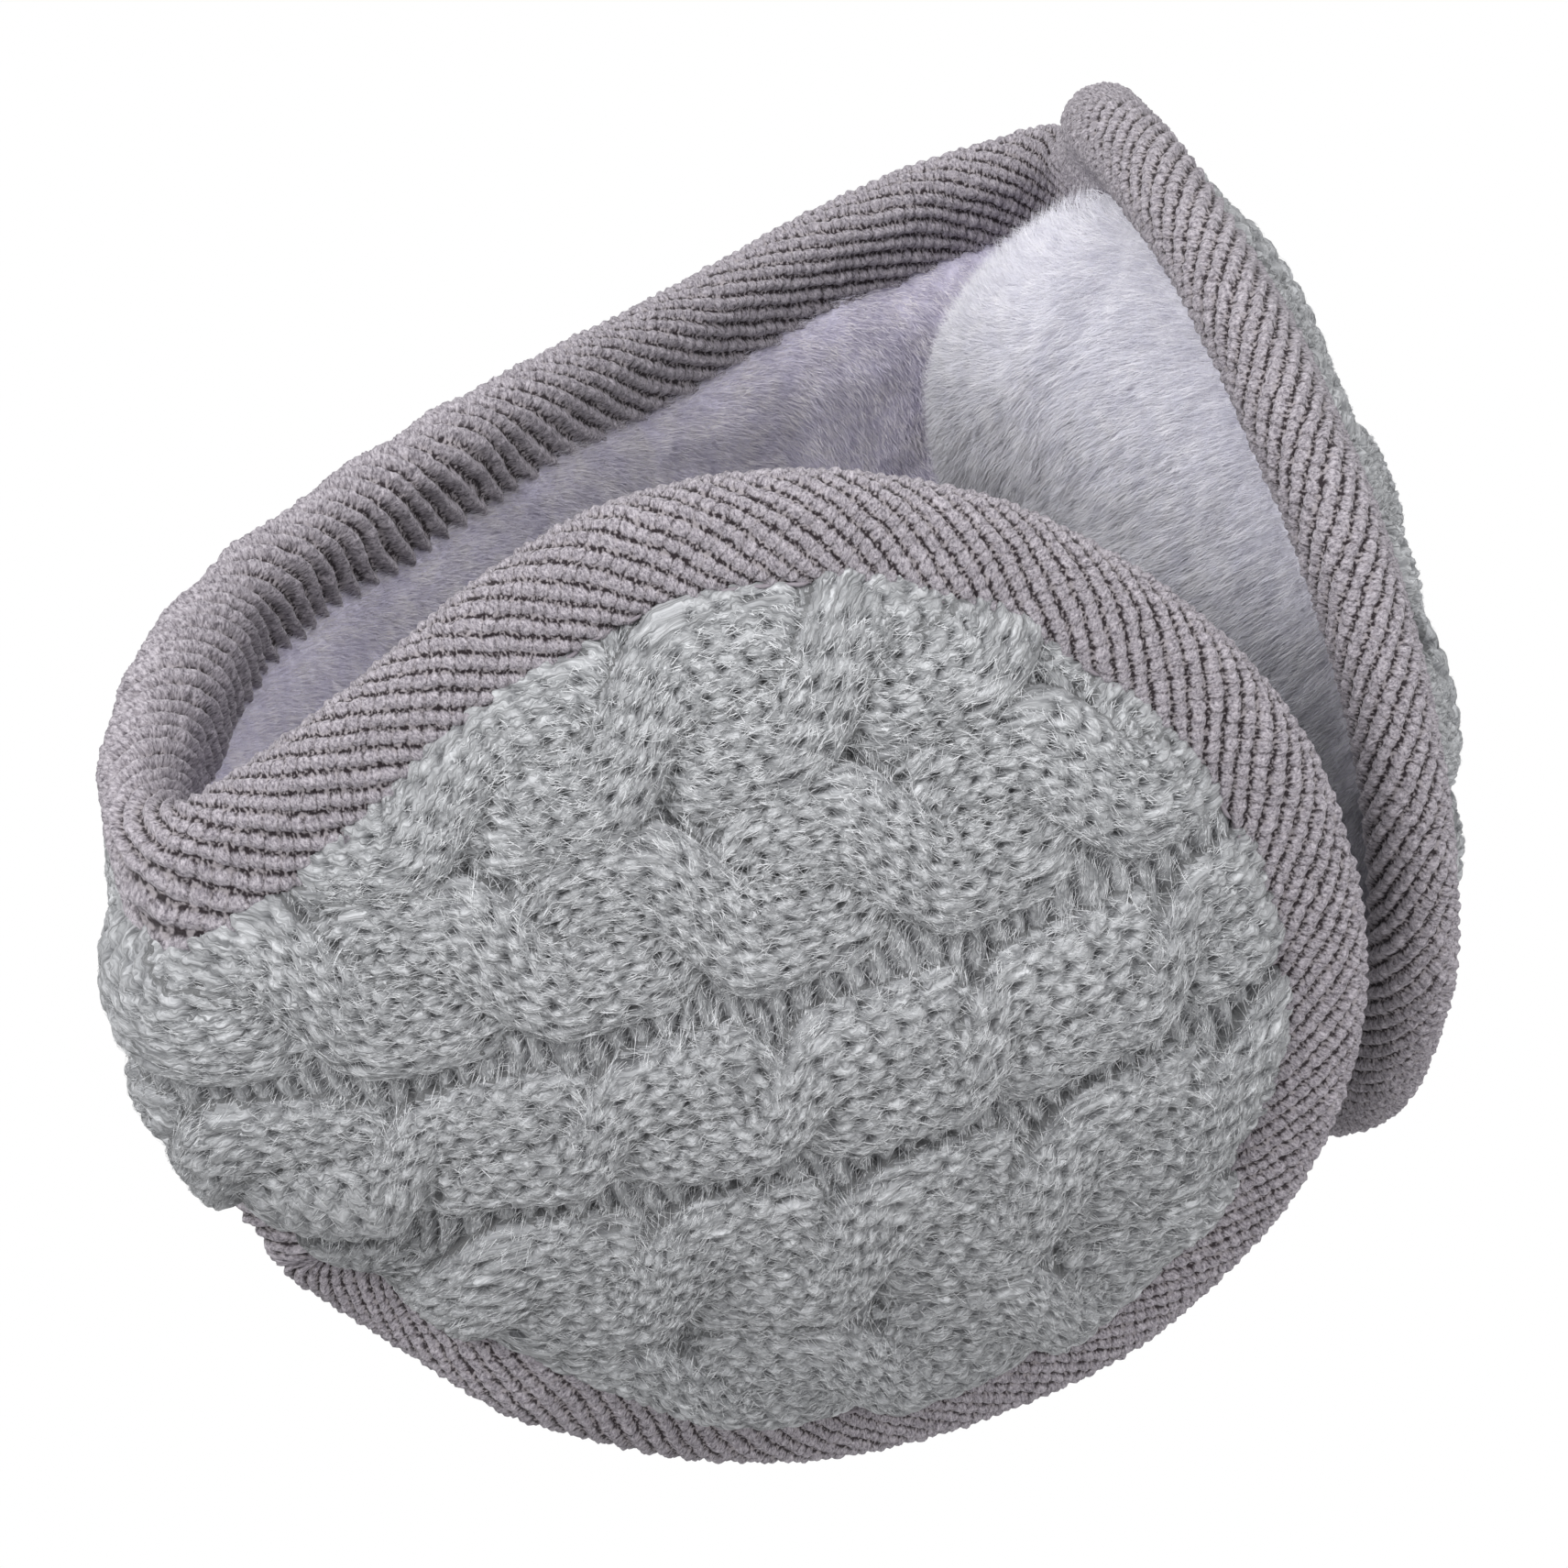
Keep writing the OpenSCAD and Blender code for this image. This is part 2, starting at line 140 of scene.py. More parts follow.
def from_hinge(u):
    """The same place counted from the nearer hinge, negative out over a cup."""
    return np.minimum(u, BAND_LENGTH - u)


def cornered(u, z):
    """Middle surface of the left half, with a sharp corner at the hinge."""
    s = np.maximum(-u, 0)
    n = cup_skin(s, z)
    cup = np.stack([-HINGE_X + s * math.cos(FOLD) - n * math.sin(FOLD),
                    -s * math.sin(FOLD) - n * math.cos(FOLD), z], -1)
    a = np.clip(ARC_ANGLE - u / ARC_R, 0, ARC_ANGLE)
    tail = np.maximum(u - ARC_LENGTH, 0)
    x = -STRAIGHT_X - ARC_R * np.sin(a) + tail
    y = BAND_SAG - ARC_R + ARC_R * np.cos(a)
    band = np.stack([x, y, z], -1)
    return np.where((u < 0)[..., None], cup, band)


def hill(x, middle, width):
    return np.exp(-(((x - middle) / width) ** 2))


def slack(u, v, z):
    """How far the soft covers hang away from the frame's shape, in the left half's directions."""
    # The band beside a hinge moves inwards and forwards, most at its lower edge
    aside = (0.5 + 2.5 * smooth(3, 14, -z)) * smooth(-14, 3, v) * smooth(-52, -34, -v)
    # The lower edges round a hinge tuck in towards the head, and hang down
    under = 9.5 * smooth(10, 23, -z) * smooth(-28, -10, v) * smooth(-60, -20, -v)
    drop = 4.5 * smooth(5, 19, -z) * hill(v, -9, 15)
    # The right cup's upper edge is pushed back and up, and the band's sags on its right half
    peak = smooth(-8, 22, z) * hill(u, BAND_LENGTH + 27, 40)
    sag = 3.3 * smooth(4, 22, z) * hill(u, BAND_LENGTH - 54, 27)
    ways = ((aside, (0.7, -0.7, 0)), (under, (0.75, 0, 0)), (drop, (0, 0, -1)), (peak, (0.3, 5.0, 2.5)),
            (sag, (0, 0, -1)))
    moved = sum(share[..., None] * np.array(way) for share, way in ways)
    # Inwards is also back on the cup's side of a hinge, and forwards on the band's
    moved[..., 1] += under * mix(0.67, -0.65, smooth(-7, 7, v))
    return moved


def skin_point(u, z):
    """The covers' middle surface: rounded at the hinges, slack along the edges."""
    u, z = np.broadcast_arrays(np.asarray(u, float), np.asarray(z, float))
    v = from_hinge(u)
    low, high = np.full_like(v, -FOLD_SOFT), np.full_like(v, FOLD_SOFT)
    p0, p1 = cornered(low, z), cornered(high, z)
    step = 0.5
    t0 = (p0 - cornered(low - step, z)) / step * 2 * FOLD_SOFT
    t1 = (cornered(high + step, z) - p1) / step * 2 * FOLD_SOFT
    t = np.clip((v + FOLD_SOFT) / (2 * FOLD_SOFT), 0, 1)[..., None]
    curve = ((2 * t**3 - 3 * t**2 + 1) * p0 + (t**3 - 2 * t**2 + t) * t0
             + (3 * t**2 - 2 * t**3) * p1 + (t**3 - t**2) * t1)
    near = (np.abs(v) < FOLD_SOFT)[..., None]
    point = np.where(near, curve, cornered(v, z))
    point = point + slack(u, v, z)
    point[..., 0] *= np.where(u > BAND_LENGTH / 2, -1, 1)
    return point


def skin_normal(u, z):
    """Outward normal of the middle surface, away from the head."""
    step = 0.4
    along = skin_point(u + step, z) - skin_point(u - step, z)
    up = skin_point(u, z + step) - skin_point(u, z - step)
    return unit(np.cross(up, along))


def edge_distance(u, z):
    """Distance in from the fabric's edge."""
    s = np.maximum(-from_hinge(u), 0)
    top, bottom = edge_height(s, PEAK_TOP), edge_height(s, PEAK_BOTTOM)
    lean_top = (edge_height(s + 0.5, PEAK_TOP) - top) / 0.5
    lean_bottom = (edge_height(s + 0.5, PEAK_BOTTOM) - bottom) / 0.5
    beside = np.minimum((top - z) / np.sqrt(1 + lean_top**2), (z - bottom) / np.sqrt(1 + lean_bottom**2))
    height = np.where(z > TIP_Z, PEAK_TOP - TIP_Z, TIP_Z - PEAK_BOTTOM)
    reach = np.sqrt(((s - PEAK_S) / (CUP_LENGTH - PEAK_S)) ** 2 + ((z - TIP_Z) / height) ** 2)
    return np.where(s > PEAK_S, (1 - reach) * 51.5, beside)


def bunching(u, z):
    """How much wider the tape's outer face is where it bunches up round a hinge, on the upper edge."""
    return 4.2 * hill(from_hinge(u), 3, 13) * (z > 0)


# Stretches of the covers, each made as pieces of its own: name, from u, to u
CUP_SPANS = (
    ("cup_left", -CUP_LENGTH, -SEAM),
    ("cup_right", BAND_LENGTH + SEAM, BAND_LENGTH + CUP_LENGTH),
)
FOLD_SPANS = (
    ("fold_left", -SEAM, ARC_LENGTH),
    ("fold_right", BAND_LENGTH - ARC_LENGTH, BAND_LENGTH + SEAM),
)
MIDDLE_SPAN = ("middle", ARC_LENGTH, BAND_LENGTH - ARC_LENGTH)
SPANS = CUP_SPANS + FOLD_SPANS + (MIDDLE_SPAN,)


def carried(piece, span_name):
    """Makes a piece on a cup ride on that cup; any other piece keeps its place, with its transform baked into its
    mesh."""
    if span_name == "middle":
        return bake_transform(piece)
    kind, name = span_name.split("_")
    if kind == "cup":
        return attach(piece, "cup_" + name)
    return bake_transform(piece)


# ------------------------------------------------------------------ meshes
def make_mesh(name, points, faces, attributes=None):
    """A smooth mesh object from points in millimetres and an array of triangles or quads."""
    mesh = bpy.data.meshes.new(name)
    faces = np.asarray(faces, np.int32)
    corners = faces.shape[1]
    mesh.vertices.add(len(points))
    mesh.vertices.foreach_set("co", (np.asarray(points, np.float32) * MM).ravel())
    mesh.loops.add(faces.size)
    mesh.loops.foreach_set("vertex_index", faces.ravel())
    mesh.polygons.add(len(faces))
    mesh.polygons.foreach_set("loop_start", np.arange(0, faces.size, corners, dtype=np.int32))
    mesh.update(calc_edges=True)
    mesh.validate()
    for key, values in (attributes or {}).items():
        kind, field = ("FLOAT_VECTOR", "vector") if values.ndim == 2 else ("FLOAT", "value")
        layer = mesh.attributes.new(key, kind, "POINT")
        layer.data.foreach_set(field, values.astype(np.float32).ravel())
    mesh.shade_smooth()
    piece = bpy.data.objects.new(name, mesh)
    bpy.context.scene.collection.objects.link(piece)
    return piece


def grid_faces(rows, cols, flip=False):
    i = np.arange(rows - 1)[:, None]
    j = np.arange(cols - 1)[None, :]
    a, b, c, d = i * cols + j, i * cols + j + 1, (i + 1) * cols + j + 1, (i + 1) * cols + j
    return np.stack([a, b, c, d] if flip else [a, d, c, b], -1).reshape(-1, 4)


def closed(outer, inner, faces):
    """Solid between two sets of points that share the same faces: points and quads."""
    edges = np.concatenate([faces[:, [k, (k + 1) % 4]] for k in range(4)])
    _, first, count = np.unique(np.sort(edges, 1), axis=0, return_index=True, return_counts=True)
    rim = edges[first[count == 1]]
    n = len(outer)
    walls = np.stack([rim[:, 1], rim[:, 0], rim[:, 0] + n, rim[:, 1] + n], 1)
    return np.concatenate([outer, inner]), np.concatenate([faces, faces[:, ::-1] + n, walls])


def trimmed(points, faces, keep, attributes):
    """Drops the faces that have a corner where keep is false, and the points that nothing uses."""
    faces = faces[keep.ravel()[faces].all(1)]
    used = np.unique(faces)
    renumber = np.full(len(points), -1)
    renumber[used] = np.arange(len(used))
    return points[used], renumber[faces], {key: v[used] for key, v in attributes.items()}


def flat(grid):
    return grid.reshape(-1, grid.shape[-1]) if grid.ndim == 3 else grid.ravel()


def grid_normals(points):
    along = np.gradient(points, axis=0)
    up = np.gradient(points, axis=1)
    return unit(np.cross(up, along))


def places(span, step):
    """Grid of (u, z) over a stretch of the covers, as tall as the stretch is."""
    _, low, high = span
    tallest = min(max(-from_hinge(low), -from_hinge(high), 0), PEAK_S)
    bottom, top = edge_height(tallest, PEAK_BOTTOM), edge_height(tallest, PEAK_TOP)
    us = np.linspace(low, high, max(2, round((high - low) / step) + 1))
    zs = np.linspace(bottom, top, round((top - bottom) / step) + 1)
    return np.meshgrid(us, zs, indexing="ij")


# ------------------------------------------------------------------ cable knit
COURSE = 2.6          # length of one stitch along the knit
CABLE_PERIOD = 18.2   # distance between crossings of a cable
CABLE_HEIGHT = 1.9    # how far a cable stands above the purl ditches
CROSS_LIFT = 0.95     # how far the strand on top rises at a crossing
STITCH_DEPTH = 1.0    # depth of the hollows between stitches
NO_YARN = -9.0        # a height below all yarn, where a strand doesn't reach
WIDE, SMALL = 8.3, 5.7
# Each cable: middle height on the fabric, half width, place of a crossing, +1 if the top strand climbs
CABLES = (
    (45.6, SMALL, 1.6, 1),
    (26.0, WIDE, 10.8, 1),
    (9.3, WIDE, 14.2, -1),
    (-8.2, SMALL, 1.6, 1),
    (-25.4, WIDE, 5.8, 1),
    (-42.1, WIDE, 5.8, -1),
    (-59.5, SMALL, 1.6, 1),
)


def stitch_relief(along, across, wale):
    """Columns of V stitches, from 0 in the gaps to 1 on the yarn."""
    x = across / wale
    column = np.floor(x)
    x = np.abs(x - column - 0.5)
    t = along / COURSE + 0.9 * x + 0.37 * column
    t = t - np.floor(t)
    leg = np.clip(1 - np.abs(2 * t - 1) ** 2.2, 0, 1) ** 0.75
    beside = np.clip(1 - ((x - 0.26) / 0.30) ** 2, 0, 1) ** 0.6
    hole = hill(x, 0, 0.18) * hill(np.abs(2 * t - 1), 1, 0.36)
    return leg * beside - 0.8 * hole


def pattern_height(s, z):
    """Height in the knit's pattern: its wales climb over a cup towards the tip, later ones further down."""
    high = 0.14 * np.where(s > 32, s - 26, np.maximum(s - 20, 0) ** 2 / 24)
    low = 0.0032 * np.maximum(s - 50, 0) ** 2
    return z - mix(low, high, smooth(-17, 3, z - high))


def knit_relief(p, q):
    """Height of the knit over its backing, the yarn's own place (along, across, strand), its slope, and
    how open to the light it is, from 0 in a hollow to 1 on top."""
    p = p + 0.7 * value_noise(p, q, 9, 11)
    q = q + 0.5 * value_noise(p, q, 7, 12)
    height = np.full(p.shape, NO_YARN)
    along, across, kind, lean_of, open_of = (np.zeros(p.shape) for _ in range(5))
    for number, (middle, half, phase, climbs) in enumerate(CABLES):
        shift = half * 0.5
        cross_half = half * 0.74
        wale = half / 4 if half == WIDE else half / 3
        crossing = np.floor((p - phase) / CABLE_PERIOD + 0.5)
        x = p - phase - crossing * CABLE_PERIOD
        swap = smooth(-cross_half, cross_half, x)
        swap_rate = (smooth(-cross_half, cross_half, x + 0.2) - swap) / 0.2
        near = np.exp(-1.2 * (x / cross_half) ** 2)
        steps = np.linspace(-CABLE_PERIOD / 2, CABLE_PERIOD / 2, 181)
        rates = np.gradient(smooth(-cross_half, cross_half, steps), steps)
        lengths = np.cumsum(np.sqrt(1 + (2 * shift * rates) ** 2)) * (steps[1] - steps[0])
        run = np.interp(x, steps, lengths) + crossing * lengths[-1]
        for strand in (0, 1):
            before = np.where((crossing + strand) % 2 == 0, -1.0, 1.0)
            centre = middle + shift * before * (1 - 2 * swap)
            slope = -2 * shift * before * swap_rate
            lean = 1 / np.sqrt(1 + slope**2)
            offset = (q - centre) * lean
            on_top = np.where(-before == climbs, 1.0, -1.2)
            reach = half * (0.66 - 0.08 * near)
            ratio = np.clip(np.abs(offset) / reach, 0, 1)
            dome = (1 - ratio**3.2) ** 0.5
            tau = run + (q - centre) * slope * lean
            stitch = stitch_relief(tau, offset, wale)
            here = CABLE_HEIGHT * dome + on_top * CROSS_LIFT * near
            here += STITCH_DEPTH * stitch * (0.4 + 0.6 * dome)
            here = np.where(ratio < 1, here, NO_YARN)
            higher = here > height
            height = np.where(higher, here, height)
            along = np.where(higher, tau, along)
            across = np.where(higher, offset, across)
            kind = np.where(higher, number * 2 + strand, kind)
            lean_of = np.where(higher, slope, lean_of)
            open_of = np.where(higher, (0.45 + 0.55 * stitch) * (0.4 + 0.6 * dome), open_of)
    wander = p + 0.25 * q + 0.7 * value_noise(p, q, 2.6, 14)
    bar = np.abs(np.sin(np.pi * wander / 2.3)) ** 0.8
    ladder = 1.3 * bar - 0.3
    lower = ladder > height
    height = np.where(lower, ladder, height)
    along = np.where(lower, q + 0.4 * p, along)
    across = np.where(lower, p, across)
    kind = np.where(lower, 20, kind)
    lean_of = np.where(lower, 2.0, lean_of)
    open_of = np.where(lower, 0.05 + 0.65 * bar, open_of)
    return height, np.stack([along, across, kind * 5.3], -1), lean_of, open_of


def knit_base(u, z):
    """Offset of the knit's backing from the middle surface."""
    v = from_hinge(u)
    inset = np.clip(edge_distance(u, z) - bunching(u, z) - 4.5, 0, None)
    # The wadding fills it most at the back of the band and round the hinges, least on the right cup
    full = mix(2.8, 2.0, smooth(0, 8, v)) + 1.9 * smooth(24, 42, v) + 1.4 * hill(v, 0, 8) * smooth(-15, -5, z)
    full = full - 1.9 * smooth(4, 16, u - BAND_LENGTH)
    return 1.4 + full * (1 - np.exp(-inset / 3.5))


def knit_height(u, z):
    """Height of the knit's face over its backing, with the rest that knit_relief gives."""
    p = -u
    q = pattern_height(np.maximum(-from_hinge(u), 0), z)
    relief, *rest = knit_relief(p, q)
    flatten = mix(0.35, 1, smooth(3, 9, edge_distance(u, z) - bunching(u, z)))
    return relief * flatten + 0.25 * value_noise(p, q, 14, 13), *rest


def knit_piece(span, step):
    u, z = places(span, step)
    height, weave, _, openness = knit_height(u, z)
    base = skin_point(u, z) + skin_normal(u, z) * knit_base(u, z)[..., None]
    points = base + grid_normals(base) * height[..., None]
    attributes = {"weave": flat(weave), "openness": soften(openness, 1).ravel()}
    keep = edge_distance(u, z) > 3.0
    faces = grid_faces(*u.shape)
    return make_mesh("knit_" + span[0], *trimmed(flat(points), faces, keep, attributes))


def knit_fuzz(span, count, seed):
    """Loose wool fibres: thin bent ribbons that lie along the yarn."""
    rng = np.random.default_rng(seed)
    _, low, high = span
    on_cup = span in CUP_SPANS
    bottom, top = (PEAK_BOTTOM, PEAK_TOP) if on_cup else (-BAND_HALF, BAND_HALF)
    u, z = rng.uniform(low, high, count * 2), rng.uniform(bottom, top, count * 2)
    inside = edge_distance(u, z) - bunching(u, z) > 6.1
    u, z = u[inside][:count], z[inside][:count]
    slope = knit_height(u, z)[2]
    turn = np.arctan(slope) + rng.normal(0, 0.3, len(u)) + np.where(rng.random(len(u)) < 0.5, np.pi, 0)
    length = rng.uniform(1.5, 4.2, len(u))
    curl = rng.normal(0, 0.35, len(u))
    stand = rng.uniform(0.05, 0.5, len(u)) ** 2
    width = rng.uniform(0.045, 0.09, len(u))
    rows = []
    for t in (0.0, 0.33, 0.67, 1.0):
        bend = turn + curl * t
        pu = u - np.cos(bend) * length * t
        pz = z + np.sin(bend) * length * t
        height = knit_height(pu, pz)[0] + 0.03 + 2.2 * stand * t * (1.15 - t)
        normal = skin_normal(pu, pz)
        place = skin_point(pu, pz) + normal * (knit_base(pu, pz) + height)[:, None]
        rows.append((place, normal))
    points = []
    for k, (place, normal) in enumerate(rows):
        ahead = rows[min(k + 1, 3)][0] - rows[max(k - 1, 0)][0]
        beside = unit(np.cross(ahead, normal)) * (width * (1 - 0.25 * k) / 2)[:, None]
        points += [place] if k == 3 else [place - beside, place + beside]
    points = np.stack(points, 1)
    index = np.arange(len(u))[:, None] * 7
    corners = ((0, 1, 3), (0, 3, 2), (2, 3, 5), (2, 5, 4), (4, 5, 6))
    faces = np.concatenate([index + np.array([c]) for c in corners])
    return make_mesh("fuzz_" + span[0], points.reshape(-1, 3), faces)


def wadding_piece(span, step):
    """Padding between the knit and the frame inside it."""
    u, z = places(span, step)
    normal = skin_normal(u, z)
    outer = skin_point(u, z) + normal * (knit_base(u, z) - 0.9)[..., None]
    inner = skin_point(u, z) + normal * mix(0.1, 1.2, smooth(6, 11, edge_distance(u, z)))[..., None]
    both = np.concatenate([flat(outer), flat(inner)], 1)
    both, faces, _ = trimmed(both, grid_faces(*u.shape), edge_distance(u, z) > 4.0, {})
    return make_mesh("wadding_" + span[0], *closed(both[:, :3], both[:, 3:], faces))


# ------------------------------------------------------------------ ribbed tape
RIB_PITCH = 1.75
RIB_HEIGHT = 0.8
BUMP_PITCH = 1.3
STITCH_INSET = 2.2    # the stitches lie this far along the tape's section from its outer hem
STITCH_PITCH = 3.6    # from one stitch to the next
STITCH_HALF = 1.2     # half a stitch's length
THREAD_R = 0.24


def tape_section(step):
    """Folded tape from its outer face's hem to its inner face's hem: points (inward, across), the
    outward direction at each, and the distance along the section."""
    lip = [(TAPE_LEG + 0.9, 0.9), (TAPE_LEG + 0.9, 2.0), (TAPE_LEG + 0.3, 3.1)]
    face = [(TAPE_LEG * (1 - t), mix(3.6, TAPE_R, t)) for t in (0.15, 0.4, 0.7)]
    bend = [(-TAPE_R * math.sin(a), TAPE_R * math.cos(a)) for a in np.linspace(0, np.pi / 2, 7)]
    upper = np.array(lip + face + bend)
    corners = np.concatenate([upper, upper[-2::-1] * [1, -1]])
    gaps = np.linalg.norm(np.diff(corners, axis=0), axis=1)
    reached = np.concatenate([[0], np.cumsum(gaps)])
    w = np.linspace(0, reached[-1], round(reached[-1] / step) + 1)
    points = np.stack([np.interp(w, reached, corners[:, k]) for k in (0, 1)], 1)
    for _ in range(4):
        points[1:-1] = (points[:-2] + 2 * points[1:-1] + points[2:]) / 4
    way = unit(np.gradient(points, axis=0))
    return points, np.stack([way[:, 1], -way[:, 0]], 1), w


def cup_edge(step):
    """Places on a cup's edge from the seam over the top, round the tip and back underneath."""
    s = np.arange(SEAM, PEAK_S, step)
    turn = np.linspace(0, np.pi / 2, int(82 / step))
    round_s = PEAK_S + (CUP_LENGTH - PEAK_S) * np.sin(turn)
    halves = []
    for peak in (PEAK_TOP, PEAK_BOTTOM):
        line = np.stack([-s, edge_height(s, peak)], 1)
        rounded = np.stack([-round_s, TIP_Z + (peak - TIP_Z) * np.cos(turn)], 1)
        halves.append(np.concatenate([line, rounded]))
    return np.concatenate([halves[0], halves[1][-2::-1]])


def straight_edge(low, high, side, step):
    u = np.linspace(low, high, round((high - low) / step) + 1)
    return np.stack([u, edge_height(np.maximum(-from_hinge(u), 0), side)], 1)


def tape_loop(step):
    """Whole run of the tape as stretches (name, places), each starting where the last one ends."""
    left = cup_edge(step)
    right = left[::-1] * [-1, 1] + [BAND_LENGTH, 0]
    stretches = [("cup_left", left)]
    for name, low, high in (FOLD_SPANS[0], MIDDLE_SPAN, FOLD_SPANS[1]):
        stretches.append((name, straight_edge(low, high, PEAK_BOTTOM, step)))
    stretches.append(("cup_right", right))
    for name, low, high in (FOLD_SPANS[1], MIDDLE_SPAN, FOLD_SPANS[0]):
        stretches.append((name, straight_edge(low, high, PEAK_TOP, step)[::-1]))
    return stretches


def gathering(path):
    """Share of gathering along the tape: full on the left part of the band's upper edge."""
    return smooth(-4, 8, path[:, 0]) * smooth(60, 110, BAND_LENGTH - path[:, 0]) * (path[:, 1] > 0)


def rib_angle(path):
    """Angle between the ribs and the tape's run, which turns along the band's upper edge."""
    turned = mix(62, 20, smooth(70, 150, path[:, 0]))
    on_band = smooth(-4, 12, path[:, 0]) * smooth(4, 24, BAND_LENGTH - path[:, 0]) * (path[:, 1] > 0)
    return np.radians(mix(40, turned, on_band))


def evened(rows, passes=200):
    """Directions along a path, each blended with its neighbours so that they turn gently."""
    rows = rows.copy()
    for _ in range(passes):
        rows[1:-1] = (rows[:-2] + 2 * rows[1:-1] + rows[2:]) / 4
    return unit(rows)


def tape_parts(step):
    """The tape's stretches as (points, faces, attributes), by the name of their span."""
    section, outward, w = tape_section(step)
    middle = w[-1] / 2
    parts = {}
    ribs_from = bumps_from = run_from = 0.0
    for name, path in tape_loop(step):
        place = skin_point(path[:, 0], path[:, 1])
        across = evened(skin_normal(path[:, 0], path[:, 1]))
        gaps = np.concatenate([[0], np.linalg.norm(np.diff(place, axis=0), axis=1)])
        angle = rib_angle(path)
        gathered = gathering(path)[:, None]
        pitch = RIB_PITCH * (1 + 0.35 * gathered)
        ribs = ribs_from + np.cumsum(gaps * np.sin(angle) / pitch[:, 0])
        bumps = bumps_from + np.cumsum(gaps * np.cos(angle)) / BUMP_PITCH
        run = run_from + np.cumsum(gaps)
        ribs_from, bumps_from, run_from = ribs[-1], bumps[-1], run[-1]
        inward = unit(np.cross(evened(np.gradient(place, axis=0)), across))
        ribs = ribs[:, None] + (w - middle) * np.cos(angle)[:, None] / pitch
        bumps = bumps[:, None] - (w - middle) * np.sin(angle)[:, None] / BUMP_PITCH
        run, w_grid = np.meshgrid(run, w, indexing="ij")
        ribs = ribs + 0.2 * value_noise(run, w_grid, 7, 21) + 0.09 * value_noise(run, w_grid, 1.6, 25)
        bumps = bumps + 0.5 * value_noise(run, w_grid, 4, 22) + 0.15 * value_noise(run, w_grid, 1.3, 26)
        phase = ribs - np.floor(ribs)
        ridge = (0.5 - 0.5 * np.cos(2 * np.pi * phase)) ** (0.7 + 0.6 * gathered)
        cells = (0.5 + 0.5 * np.cos(2 * np.pi * bumps)) ** 0.6
        hem = smooth(0, 0.9, np.minimum(w_grid, w[-1] - w_grid))
        gather = 0.7 * value_noise(run, w_grid * 0.35, 6.5, 24) * gathered
        puff = 0.3 * value_noise(run, w_grid, 12, 23) + gather
        rough = 0.16 * value_noise(run, w_grid, 0.8, 27)
        tall = RIB_HEIGHT * (1 + 0.7 * gathered)
        dips = 0.38 * (1 - 0.8 * gathered) * (1 - cells)
        height = (tall * (ridge * (1 - dips) - 0.55) + puff + rough) * hem
        spread = bunching(path[:, 0], path[:, 1])[:, None] / TAPE_LEG
        widened = 1 + spread * (section[:, 0] > 0) * (w < middle)
        reach = section[:, 0] * widened
        base = place[:, None] + reach[..., None] * inward[:, None]
        base = base + section[None, :, 1:] * across[:, None]
        normal = outward[None, :, :1] * inward[:, None] + outward[None, :, 1:] * across[:, None]
        points = flat(base + normal * height[..., None])
        weave = np.stack([ribs, bumps, 0.2 * run], -1)
        faces = grid_faces(len(path), len(w), flip=True)
        attributes = {"weave": flat(weave), "gathered": np.repeat(gathered, len(w))}
        parts.setdefault(name, []).append((points, faces, attributes))
    return parts


def stitch_parts(step):
    """Stitches sunk along the tape's outer hem, as (points, faces, {}) by the name of their span."""
    section, outward, w = tape_section(step)
    row = np.searchsorted(w, STITCH_INSET)
    turn = np.linspace(0, 2 * np.pi, 6, endpoint=False)
    ring = np.stack([np.cos(turn), np.sin(turn)], 1)
    share = np.linspace(-1, 1, 5)
    parts = {}
    for name, path in tape_loop(step):
        place = skin_point(path[:, 0], path[:, 1])
        across = evened(skin_normal(path[:, 0], path[:, 1]))
        along = evened(np.gradient(place, axis=0))
        inward = unit(np.cross(along, across))
        margin = round(STITCH_PITCH / 2 / step)
        rows = np.arange(margin, len(path) - margin, round(STITCH_PITCH / step))
        seat = place + section[row, 0] * inward + section[row, 1] * across
        out = outward[row, 0] * inward + outward[row, 1] * across
        for k in rows:
            beside = np.cross(along[k], out[k])
            spine = seat[k] + share[:, None] * STITCH_HALF * along[k]
            spine = spine + (0.1 - 0.3 * share[:, None] ** 2) * out[k]
            round_out = ring[:, :1] * out[k] + ring[:, 1:] * beside
            thick = THREAD_R * np.sqrt(1.02 - share**2)
            points = (spine[:, None] + thick[:, None, None] * round_out[None]).reshape(-1, 3)
            i, j = np.arange(4)[:, None] * 6, np.arange(6)[None, :]
            n = (j + 1) % 6
            faces = np.stack([i + j, i + n, i + 6 + n, i + 6 + j], -1).reshape(-1, 4)
            parts.setdefault(name, []).append((points, faces, {}))
    return parts


def joined(name, parts):
    """One mesh object from several (points, faces, attributes)."""
    starts = np.cumsum([0] + [len(part[0]) for part in parts[:-1]])
    points = np.concatenate([part[0] for part in parts])
    faces = np.concatenate([part[1] + start for part, start in zip(parts, starts)])
    attributes = {key: np.concatenate([part[2][key] for part in parts]) for key in parts[0][2]}
    return make_mesh(name, points, faces, attributes)


# ------------------------------------------------------------------ plush lining
PAD_DEPTH = 24.0      # the pad's plush backing lies this far in from the line from hinge to tip
PAD_TIP_DEPTH = 13.0  # the same near the tip


